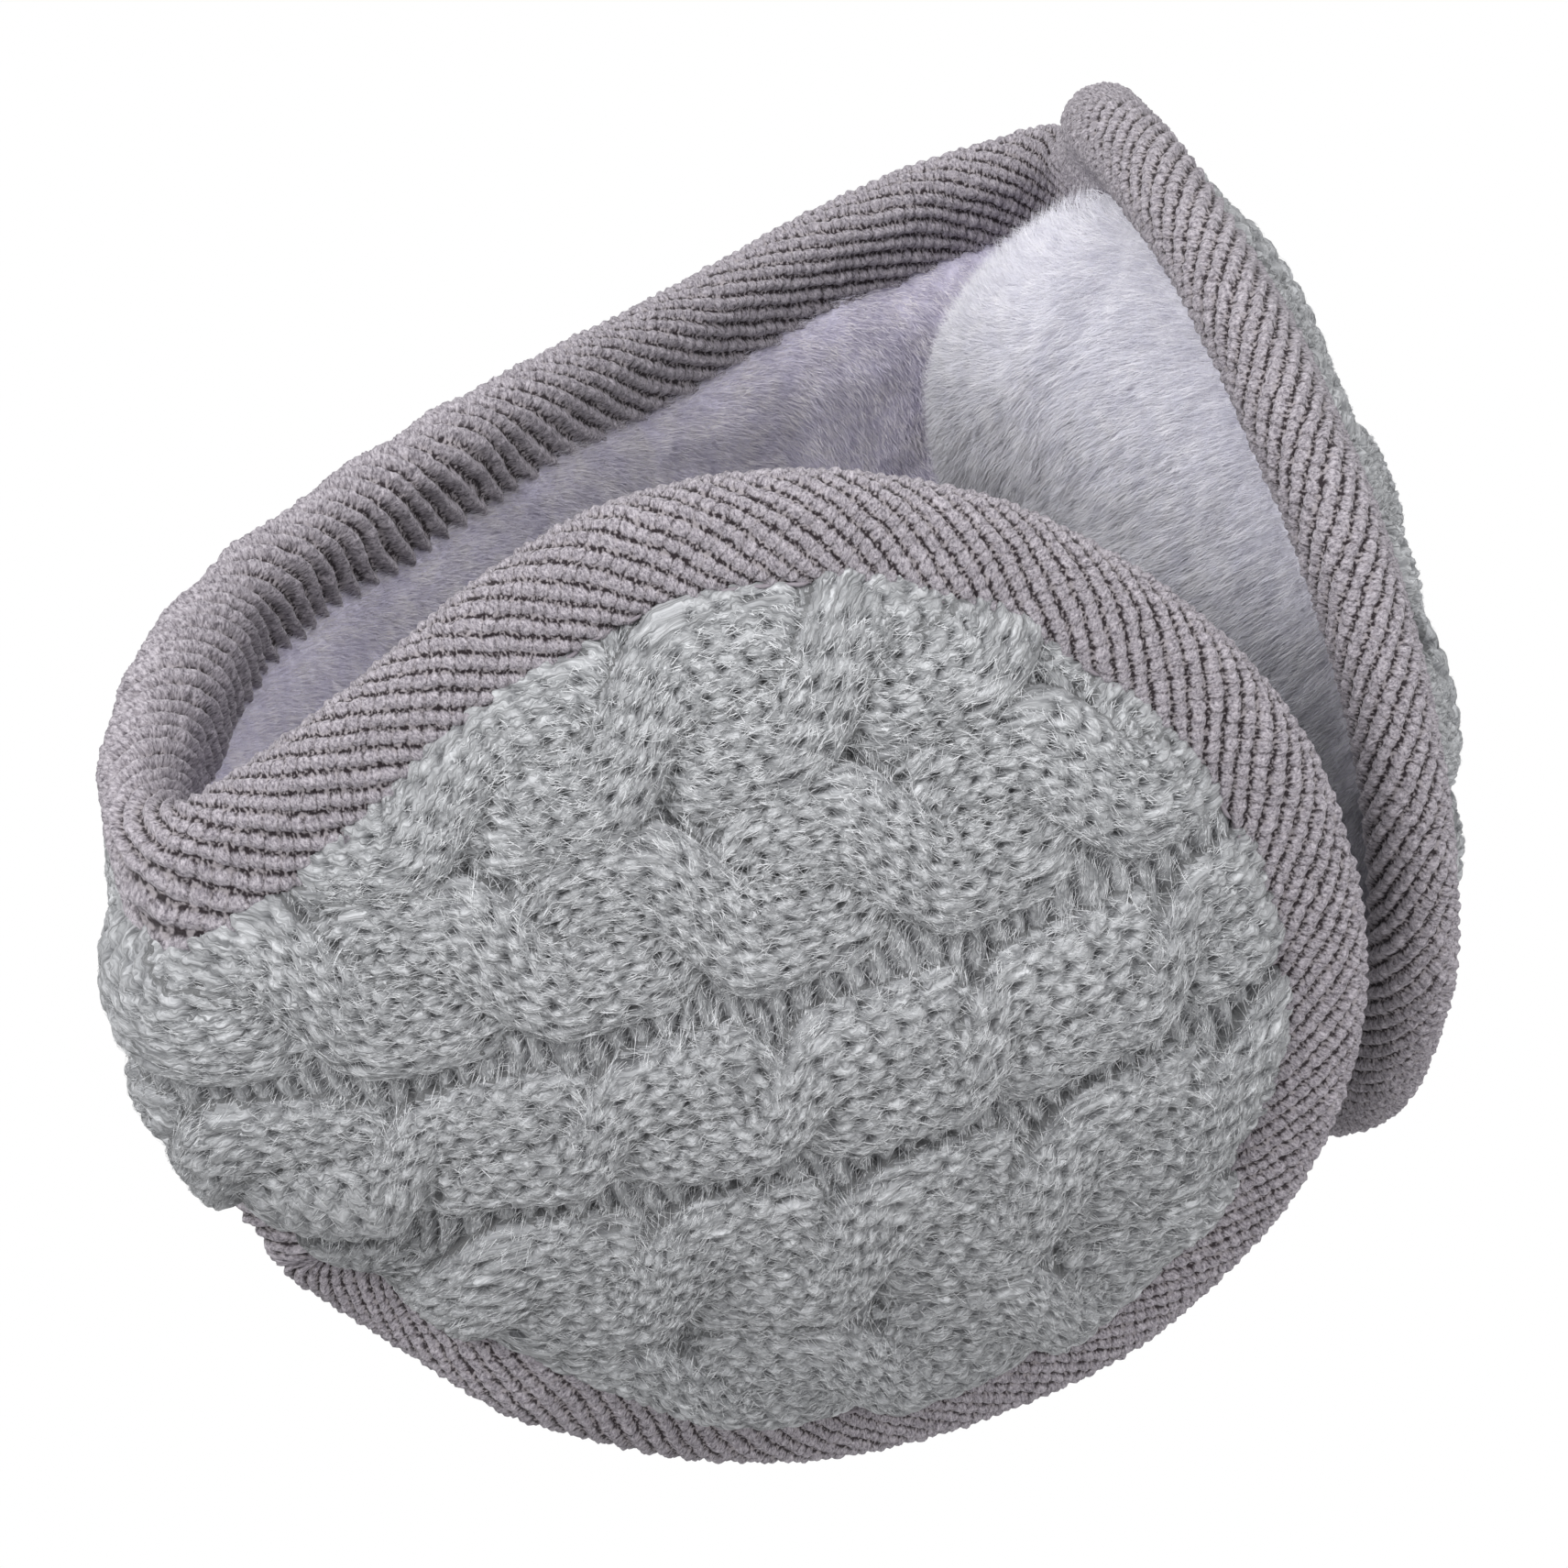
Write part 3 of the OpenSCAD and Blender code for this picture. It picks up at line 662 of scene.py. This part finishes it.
def lining_offset(u, z):
    """Offset of the lining's backing from the middle surface, towards the head."""
    inset = edge_distance(u, z)
    band = 1.6 + 3.6 * (1 - np.exp(-np.clip(inset - 5, 0, None) / 3.0))
    s = np.maximum(-from_hinge(u), 0)
    deep = mix(PAD_DEPTH, PAD_TIP_DEPTH, np.clip((s - 28) / 60, 0, 1)) * smooth(1, 13, s)
    pad = cup_skin(s, z) + deep
    round_in = np.sqrt(1 - (1 - np.clip((inset - 6.2) / 14, 0, 1)) ** 2)
    pad = 1.6 + (pad - 1.6) * round_in
    return mix(band, pad, smooth(0, 6, s))


def lining_lumps(u, z):
    return 0.7 * value_noise(u, z, 9, 41) + 0.35 * value_noise(u, z, 3.5, 42)


def lining_base(u, z):
    return skin_point(u, z) - skin_normal(u, z) * lining_offset(u, z)[..., None]


def lining_piece(span, step):
    u, z = places(span, step)
    base = lining_base(u, z)
    lumps = lining_lumps(u, z) + 0.15 * value_noise(u, z, 1.2, 43)
    points = base - grid_normals(base) * lumps[..., None]
    faces = grid_faces(*u.shape, flip=True)
    return make_mesh("plush_" + span[0], *trimmed(flat(points), faces, edge_distance(u, z) > 3.0, {}))


def pile(span, count, seed, length, comb, width=0.07):
    """Fur: tapered, bent blades rooted on the lining, combed along comb = (du, dz)."""
    rng = np.random.default_rng(seed)
    name, low, high = span
    on_cup = span in CUP_SPANS
    bottom, top = (PEAK_BOTTOM, PEAK_TOP) if on_cup else (-BAND_HALF - 4, BAND_HALF + 4)
    u, z = rng.uniform(low, high, count * 2), rng.uniform(bottom, top, count * 2)
    inside = edge_distance(u, z) > (6.2 if on_cup else 5.0) + 1.0 * value_noise(u, z, 2.5, seed + 4)
    u, z = u[inside][:count], z[inside][:count]
    step = 0.4
    place = lining_base(u, z)
    along = unit(lining_base(u + step, z) - lining_base(u - step, z))
    up = unit(lining_base(u, z + step) - lining_base(u, z - step))
    normal = unit(np.cross(along, up))
    swirl = value_noise(u, z, 13, 55) * 0.8 + rng.normal(0, 0.35, len(u))
    comb_u, comb_z = comb
    dir_u = comb_u * np.cos(swirl) - comb_z * np.sin(swirl)
    dir_z = comb_u * np.sin(swirl) + comb_z * np.cos(swirl)
    lay = unit(dir_u[:, None] * along + dir_z[:, None] * up)
    stray = unit(rng.normal(0, 1, (len(u), 3)))
    size = length * rng.uniform(0.7, 1.15, len(u)) * (1 + 0.2 * value_noise(u, z, 4, 56))
    stand = rng.uniform(0.7, 1.0, len(u))
    first = unit(normal * stand[:, None] + lay * 0.35 + stray * 0.2)
    second = unit(normal * (stand * 0.7)[:, None] + lay * 0.8 + stray * 0.25)
    base = place + normal * (lining_lumps(u, z) - 0.3)[:, None]
    mid = base + first * (size * 0.55)[:, None]
    tip = mid + second * (size * 0.5)[:, None]
    beside = unit(np.cross(first, stray)) * (width / 2)
    points = np.stack([base - beside, base + beside, mid - beside * 0.8, mid + beside * 0.8, tip], 1)
    index = np.arange(len(u))[:, None] * 5
    faces = np.concatenate([index + np.array([c]) for c in ((0, 1, 3), (0, 3, 2), (2, 3, 4))])
    return make_mesh("pile_%s_%d" % (name, seed), points.reshape(-1, 3), faces)


# ------------------------------------------------------------------ materials
def new_material(name):
    material = bpy.data.materials.new(name)
    material.use_nodes = True
    tree = material.node_tree
    shader = tree.nodes["Principled BSDF"]
    return material, tree, shader


def add(tree, kind, **values):
    node = tree.nodes.new(kind)
    for key, value in values.items():
        setattr(node, key, value)
    return node


def ramp(tree, stops):
    node = add(tree, "ShaderNodeValToRGB")
    elements = node.color_ramp.elements
    while len(elements) < len(stops):
        elements.new(0.5)
    for element, (position, colour) in zip(elements, stops):
        element.position = position
        element.color = (*colour, 1)
    return node


def attribute(tree, name):
    return add(tree, "ShaderNodeAttribute", attribute_name=name)


def scaled(tree, vector, scale):
    node = add(tree, "ShaderNodeVectorMath", operation="MULTIPLY")
    tree.links.new(vector, node.inputs[0])
    node.inputs[1].default_value = scale
    return node.outputs[0]


def noise(tree, vector, scale, detail=2.0, roughness=0.5):
    node = add(tree, "ShaderNodeTexNoise")
    node.inputs["Scale"].default_value = scale
    node.inputs["Detail"].default_value = detail
    node.inputs["Roughness"].default_value = roughness
    tree.links.new(vector, node.inputs["Vector"])
    return node.outputs["Fac"]


def blended(tree, kind, factor, a, b):
    """Mix of two colours; factor, a and b are sockets or values."""
    node = add(tree, "ShaderNodeMix", data_type="RGBA", blend_type=kind)
    for socket, value in ((node.inputs[0], factor), (node.inputs[6], a), (node.inputs[7], b)):
        if isinstance(value, bpy.types.NodeSocket):
            tree.links.new(value, socket)
        else:
            socket.default_value = value
    return node.outputs[2]


def maths(tree, operation, a, b=0.0, c=0.0):
    node = add(tree, "ShaderNodeMath", operation=operation)
    for socket, value in zip(node.inputs, (a, b, c)):
        if isinstance(value, bpy.types.NodeSocket):
            tree.links.new(value, socket)
        else:
            socket.default_value = value
    return node.outputs[0]


def axes(tree, vector):
    node = add(tree, "ShaderNodeSeparateXYZ")
    tree.links.new(vector, node.inputs[0])
    return node.outputs


def bump(tree, height, strength, distance, shader):
    node = add(tree, "ShaderNodeBump")
    node.inputs["Strength"].default_value = strength
    node.inputs["Distance"].default_value = distance
    tree.links.new(height, node.inputs["Height"])
    tree.links.new(node.outputs[0], shader.inputs["Normal"])


def knit_material():
    """Marled grey wool: fine fibres along the yarn, with shade painted darker deep between the stitches and in the
    ditches.
    """
    material, tree, shader = new_material("cable_knit")
    weave = attribute(tree, "weave").outputs["Vector"]
    openness = attribute(tree, "openness").outputs["Fac"]
    wobble = noise(tree, scaled(tree, weave, (1.3, 1.3, 1)), 1.0, 1)
    along, across, strand = axes(tree, weave)
    drifted = add(tree, "ShaderNodeCombineXYZ")
    tree.links.new(along, drifted.inputs[0])
    tree.links.new(maths(tree, "MULTIPLY_ADD", wobble, 1.1, across), drifted.inputs[1])
    tree.links.new(strand, drifted.inputs[2])
    fibres = noise(tree, scaled(tree, drifted.outputs[0], (0.42, 4.4, 1)), 1.0, 3, 0.6)
    plies = noise(tree, scaled(tree, weave, (0.5, 1.1, 1)), 1.0, 1)
    streaks = ramp(tree, [(0.34, (0.20, 0.205, 0.214)), (0.50, (0.40, 0.407, 0.422)),
                          (0.66, (0.62, 0.63, 0.65))])
    tree.links.new(fibres, streaks.inputs[0])
    marl = ramp(tree, [(0.3, (0.86, 0.86, 0.86)), (0.7, (1.1, 1.1, 1.1))])
    tree.links.new(plies, marl.inputs[0])
    coloured = blended(tree, "MULTIPLY", 1.0, streaks.outputs[0], marl.outputs[0])
    # Painted shade: the colour darkens where the knit is less open to the light, in the hollows between stitches,
    # at the strands' edges and in the purl ditches
    depth = ramp(tree, [(0.0, (0.14, 0.142, 0.15)), (0.3, (0.54, 0.54, 0.55)), (0.8, (1, 1, 1))])
    tree.links.new(openness, depth.inputs[0])
    tree.links.new(blended(tree, "MULTIPLY", 1.0, coloured, depth.outputs[0]), shader.inputs["Base Color"])
    shader.inputs["Roughness"].default_value = 0.95
    shader.inputs["Specular IOR Level"].default_value = 0.15
    shader.inputs["Sheen Weight"].default_value = 0.2
    shader.inputs["Sheen Roughness"].default_value = 0.5
    bump(tree, fibres, 0.9, 0.0005, shader)
    return material


def fuzz_material():
    material, tree, shader = new_material("wool_fuzz")
    place = add(tree, "ShaderNodeTexCoord").outputs["Object"]
    tone = ramp(tree, [(0.38, (0.28, 0.288, 0.30)), (0.62, (0.76, 0.77, 0.79))])
    tree.links.new(noise(tree, place, 1100, 2, 0.6), tone.inputs[0])
    tree.links.new(tone.outputs[0], shader.inputs["Base Color"])
    shader.inputs["Roughness"].default_value = 0.8
    shader.inputs["Specular IOR Level"].default_value = 0.2
    return material


def tape_material():
    """Ribbed tape: rows of small pale bumps between plum grooves whose dark is partly their own colour and partly
    painted shade, with specks of painted highlight in them. Where the tape is gathered the grooves are wider, the
    bumps run together and the crests are painted darker as shade."""
    material, tree, shader = new_material("ribbed_tape")
    weave = attribute(tree, "weave").outputs["Vector"]
    ribs, bumps, _ = axes(tree, weave)
    phase = maths(tree, "ABSOLUTE", maths(tree, "SUBTRACT", maths(tree, "FRACT", ribs), 0.5))
    rib = maths(tree, "SUBTRACT", 1.0, maths(tree, "POWER", maths(tree, "MULTIPLY", phase, 2.0), 2.2))
    wave = maths(tree, "COSINE", maths(tree, "MULTIPLY", bumps, 2 * math.pi))
    cell = maths(tree, "POWER", maths(tree, "MULTIPLY_ADD", wave, 0.5, 0.5), 0.45)
    gathered = attribute(tree, "gathered").outputs["Fac"]
    # Painted shade: the gaps between the bumps are darker, less so where the tape is gathered, and there the
    # crests are darker too
    dip_share = maths(tree, "MULTIPLY_ADD", gathered, -0.4, 0.5)
    dips = maths(tree, "MULTIPLY", maths(tree, "SUBTRACT", 1.0, cell), dip_share)
    crest = maths(tree, "MULTIPLY", rib, maths(tree, "MULTIPLY_ADD", gathered, -0.24, 1.0))
    body = maths(tree, "MULTIPLY", crest, maths(tree, "SUBTRACT", 1.0, dips))
    fibres = noise(tree, scaled(tree, weave, (5.0, 4.0, 14)), 1.0, 4, 0.75)
    height = maths(tree, "MULTIPLY_ADD", fibres, 0.6, body)
    tone = ramp(tree, [(0.34, (0.13, 0.115, 0.138)), (0.66, (0.64, 0.595, 0.645))])
    tree.links.new(fibres, tone.inputs[0])
    # Painted shade and highlights: the grooves are near-black as shade, with specks of painted glint in them
    glints = noise(tree, scaled(tree, weave, (4.0, 3.2, 9)), 1.0, 1)
    groove_shade_and_glints = ramp(tree, [(0.45, (0.030, 0.020, 0.025)), (0.62, (0.42, 0.38, 0.40))])
    tree.links.new(glints, groove_shade_and_glints.inputs[0])
    cover = ramp(tree, [(0.62, (0, 0, 0)), (1.06, (1, 1, 1))])
    tree.links.new(maths(tree, "MULTIPLY_ADD", fibres, 0.6, body), cover.inputs[0])
    tree.links.new(blended(tree, "MIX", cover.outputs[0], groove_shade_and_glints.outputs[0], tone.outputs[0]),
                   shader.inputs["Base Color"])
    shader.inputs["Roughness"].default_value = 0.8
    shader.inputs["Specular IOR Level"].default_value = 0.3
    shader.inputs["Sheen Weight"].default_value = 0.1
    bump(tree, height, 0.9, 0.0005, shader)
    return material


def plush_material(name, dark, light):
    """Backing of the pile, mottled."""
    material, tree, shader = new_material(name)
    place = add(tree, "ShaderNodeTexCoord").outputs["Object"]
    mottle = noise(tree, place, 900, 4, 0.7)
    tone = ramp(tree, [(0.3, dark), (0.7, light)])
    tree.links.new(mottle, tone.inputs[0])
    tree.links.new(tone.outputs[0], shader.inputs["Base Color"])
    shader.inputs["Roughness"].default_value = 0.95
    shader.inputs["Sheen Weight"].default_value = 0.5
    bump(tree, mottle, 0.8, 0.0006, shader)
    return material


def pile_material(name, dark, light, shade_share, axis, scale, start):
    """Fibres of the pile, in slightly different shades. Along an axis they are painted darker as shade, by up to
    the given share, where scale * place + start goes from 1 to 0, with a mottled edge. Along x the place is
    counted from the middle."""
    material, tree, shader = new_material(name)
    place = add(tree, "ShaderNodeTexCoord").outputs["Object"]
    tone = ramp(tree, [(0.35, dark), (0.65, light)])
    tree.links.new(noise(tree, place, 420, 4, 0.65), tone.inputs[0])
    # Painted shade along the axis, its edge mottled by noise
    painted_shade = ramp(tree, [(0.0, (1 - shade_share,) * 3), (1.0, (1, 1, 1))])
    spot = axes(tree, place)[axis]
    if axis == 0:
        spot = maths(tree, "ABSOLUTE", spot)
    reach = maths(tree, "MULTIPLY_ADD", spot, scale, start)
    mottled_shade = maths(tree, "MULTIPLY_ADD", noise(tree, place, 700, 3, 0.7), 1.2, reach)
    tree.links.new(mottled_shade, painted_shade.inputs[0])
    tree.links.new(blended(tree, "MULTIPLY", 1.0, tone.outputs[0], painted_shade.outputs[0]),
                   shader.inputs["Base Color"])
    shader.inputs["Roughness"].default_value = 0.6
    shader.inputs["Specular IOR Level"].default_value = 0.2
    shader.inputs["Sheen Weight"].default_value = 0.4
    return material


def plain_material(name, colour, roughness, metallic=0.0, grain=1500, depth=0.00005):
    material, tree, shader = new_material(name)
    place = add(tree, "ShaderNodeTexCoord").outputs["Object"]
    speckle = noise(tree, place, grain, 3, 0.6)
    dark = tuple(c * 0.82 for c in colour)
    tone = ramp(tree, [(0.35, dark), (0.65, colour)])
    tree.links.new(speckle, tone.inputs[0])
    tree.links.new(tone.outputs[0], shader.inputs["Base Color"])
    shader.inputs["Roughness"].default_value = roughness
    shader.inputs["Metallic"].default_value = metallic
    bump(tree, speckle, 0.4, depth, shader)
    return material


KNIT = knit_material()
FUZZ = fuzz_material()
TAPE = tape_material()
PAD_PLUSH = plush_material("pad_plush", (0.50, 0.49, 0.56), (0.72, 0.71, 0.78))
# Painted shade: the pad's pile grows darker lower down
PAD_PILE = pile_material("pad_pile", (0.78, 0.775, 0.86), (0.97, 0.96, 1.0), 0.6, 2, 33.0, -0.5)
BAND_PLUSH = plush_material("band_plush", (0.54, 0.51, 0.64), (0.82, 0.79, 0.93))
# Painted shade: the band's pile is darker towards its middle and lighter towards the hinges
BAND_PILE = pile_material("band_pile", (0.78, 0.745, 0.88), (1.0, 0.965, 1.0), 0.24, 0, 20.0, -1.0)
WADDING = plain_material("wadding_white", (0.86, 0.86, 0.84), 0.95, grain=700, depth=0.0005)
FOAM = plain_material("foam_cream", (0.80, 0.78, 0.70), 0.9, grain=2500, depth=0.0003)
PLASTIC = plain_material("frame_black", (0.035, 0.035, 0.038), 0.45)
STEEL = plain_material("pin_steel", (0.62, 0.63, 0.65), 0.32, metallic=1.0)
THREAD = plain_material("thread_mauve", (0.30, 0.27, 0.30), 0.8)


def finished(piece, material, slot, *nodes):
    piece.data.materials.append(material)
    if nodes:
        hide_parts(*nodes)
    return piece


# ------------------------------------------------------------------ camera
def make_camera():
    """Looks down at the left cup from the front left, as the object is usually shown."""
    heading = math.radians(50.2)
    down = math.radians(29.5)
    roll = math.radians(-7.9)
    distance = 0.6208
    target = Vector((-0.0091, -0.0174, -0.0051))
    level = math.cos(down)
    forward = Vector((math.sin(heading) * level, math.cos(heading) * level, -math.sin(down)))
    right = Vector((math.cos(heading), -math.sin(heading), 0))
    up = right.cross(forward)
    level_right = math.cos(roll) * right + math.sin(roll) * up
    level_up = -math.sin(roll) * right + math.cos(roll) * up
    data = bpy.data.cameras.new("camera")
    data.sensor_width = 36
    data.lens = 138.3
    camera = bpy.data.objects.new("camera", data)
    bpy.context.scene.collection.objects.link(camera)
    turn = Matrix((level_right, level_up, -forward)).transposed().to_4x4()
    camera.matrix_world = Matrix.Translation(target - forward * distance) @ turn
    bpy.context.scene.camera = camera


make_camera()

# ------------------------------------------------------------------ pieces
CUP_STEP = 0.3
KNIT_STEP = 0.33
TAPE_STEP = 0.3
LINING_STEP = 0.6
SHARE = 1.0   # of the fibres and blades counted below
WADDING_STEP = 2.0
STITCH_STEP = 0.3
# Loose wool fibres on each stretch of the knit
FIBRES = {"cup_left": 32000, "cup_right": 16000, "fold_left": 13000, "fold_right": 10000, "middle": 6000}
FIBRE_SEED = 31
PAD_SEEDS = (51, 52, 53)  # a pad's pile is made in three pieces
PAD_BLADES = 66000        # blades in each of them
PAD_FUR = 3.2             # length of a blade
PAD_COMB = (-0.5, -0.8)   # the way it is combed, along u and z
BAND_SEED = 61
BAND_BLADES = 60000
BAND_FUR = 1.7
BAND_COMB = (0.4, -0.8)
CAD_PART = {"cup_left": "cup_{}_left", "cup_right": "cup_{}_right",
            "fold_left": "band_{}_left", "fold_right": "band_{}_right"}


def cad_nodes(span_name, kind):
    pattern = CAD_PART.get(span_name)
    return [pattern.format(kind)] if pattern else []


for span in SPANS:
    on_cup = span in CUP_SPANS
    piece = wadding_piece(span, WADDING_STEP)
    carried(finished(piece, WADDING, "wadding", *cad_nodes(span[0], "wadding")), span[0])
    piece = knit_piece(span, CUP_STEP if on_cup else KNIT_STEP)
    carried(finished(piece, KNIT, "knit", *cad_nodes(span[0], "knit")), span[0])
    piece = knit_fuzz(span, round(FIBRES[span[0]] * SHARE), FIBRE_SEED)
    carried(finished(piece, FUZZ, "knit"), span[0])
    piece = lining_piece(span, LINING_STEP)
    backing, slot = (PAD_PLUSH, "plush_pad") if on_cup else (BAND_PLUSH, "plush_band")
    carried(finished(piece, backing, slot, *cad_nodes(span[0], "plush")), span[0])
    if on_cup:
        for seed in PAD_SEEDS:
            piece = pile(span, round(PAD_BLADES * SHARE), seed, PAD_FUR, PAD_COMB)
            carried(finished(piece, PAD_PILE, "plush_pad"), span[0])
    else:
        piece = pile(span, round(BAND_BLADES * SHARE), BAND_SEED, BAND_FUR, BAND_COMB)
        carried(finished(piece, BAND_PILE, "plush_band"), span[0])

for span_name, parts in tape_parts(TAPE_STEP).items():
    piece = joined("tape_" + span_name, parts)
    carried(finished(piece, TAPE, "tape", *cad_nodes(span_name, "binding")), span_name)
for span_name, parts in stitch_parts(STITCH_STEP).items():
    piece = joined("stitches_" + span_name, parts)
    carried(finished(piece, THREAD, "thread", *cad_nodes(span_name, "thread")), span_name)

# The frame's pieces keep their CAD shape and take a better finish
FINISHES = {"frame_plastic": PLASTIC, "steel": STEEL, "foam": FOAM}
for subpart in frame["record"]["subparts"]:
    material = FINISHES.get(subpart["material_slot"])
    if material:
        node = frame["nodes"][subpart["node"]]
        node.data.materials.clear()
        node.data.materials.append(material)


# ------------------------------------------------------------------ stage
def area_light(name, place, aim, size, power):
    data = bpy.data.lights.new(name, "AREA")
    data.size = size
    data.energy = power
    light = bpy.data.objects.new(name, data)
    light.location = place
    light.rotation_euler = (Vector(aim) - Vector(place)).to_track_quat("-Z", "Y").to_euler()
    bpy.context.scene.collection.objects.link(light)


def make_stage():
    """White all round for the camera; softer light from below than from above."""
    world = bpy.data.worlds.new("world")
    world.use_nodes = True
    tree = world.node_tree
    light = tree.nodes["Background"]
    direction = axes(tree, add(tree, "ShaderNodeTexCoord").outputs["Generated"])[2]
    strength = maths(tree, "MULTIPLY_ADD", direction, 0.3, 0.53)
    tree.links.new(strength, light.inputs["Strength"])
    light.inputs["Color"].default_value = (1, 1, 1, 1)
    white = add(tree, "ShaderNodeBackground")
    white.inputs["Color"].default_value = (1, 1, 1, 1)
    seen = add(tree, "ShaderNodeMixShader")
    tree.links.new(add(tree, "ShaderNodeLightPath").outputs["Is Camera Ray"], seen.inputs[0])
    tree.links.new(light.outputs[0], seen.inputs[1])
    tree.links.new(white.outputs[0], seen.inputs[2])
    tree.links.new(seen.outputs[0], tree.nodes["World Output"].inputs["Surface"])
    bpy.context.scene.world = world
    area_light("key", (-0.8, 0.15, 0.95), (0, 0, 0), 0.7, 11)
    area_light("fill", (0.3, -0.9, 0.7), (0, 0, 0), 0.9, 5)
    area_light("low_fill", (-0.4, -0.9, -0.35), (0, 0, 0), 0.9, 3)
    bpy.context.scene.view_settings.view_transform = "Standard"


make_stage()
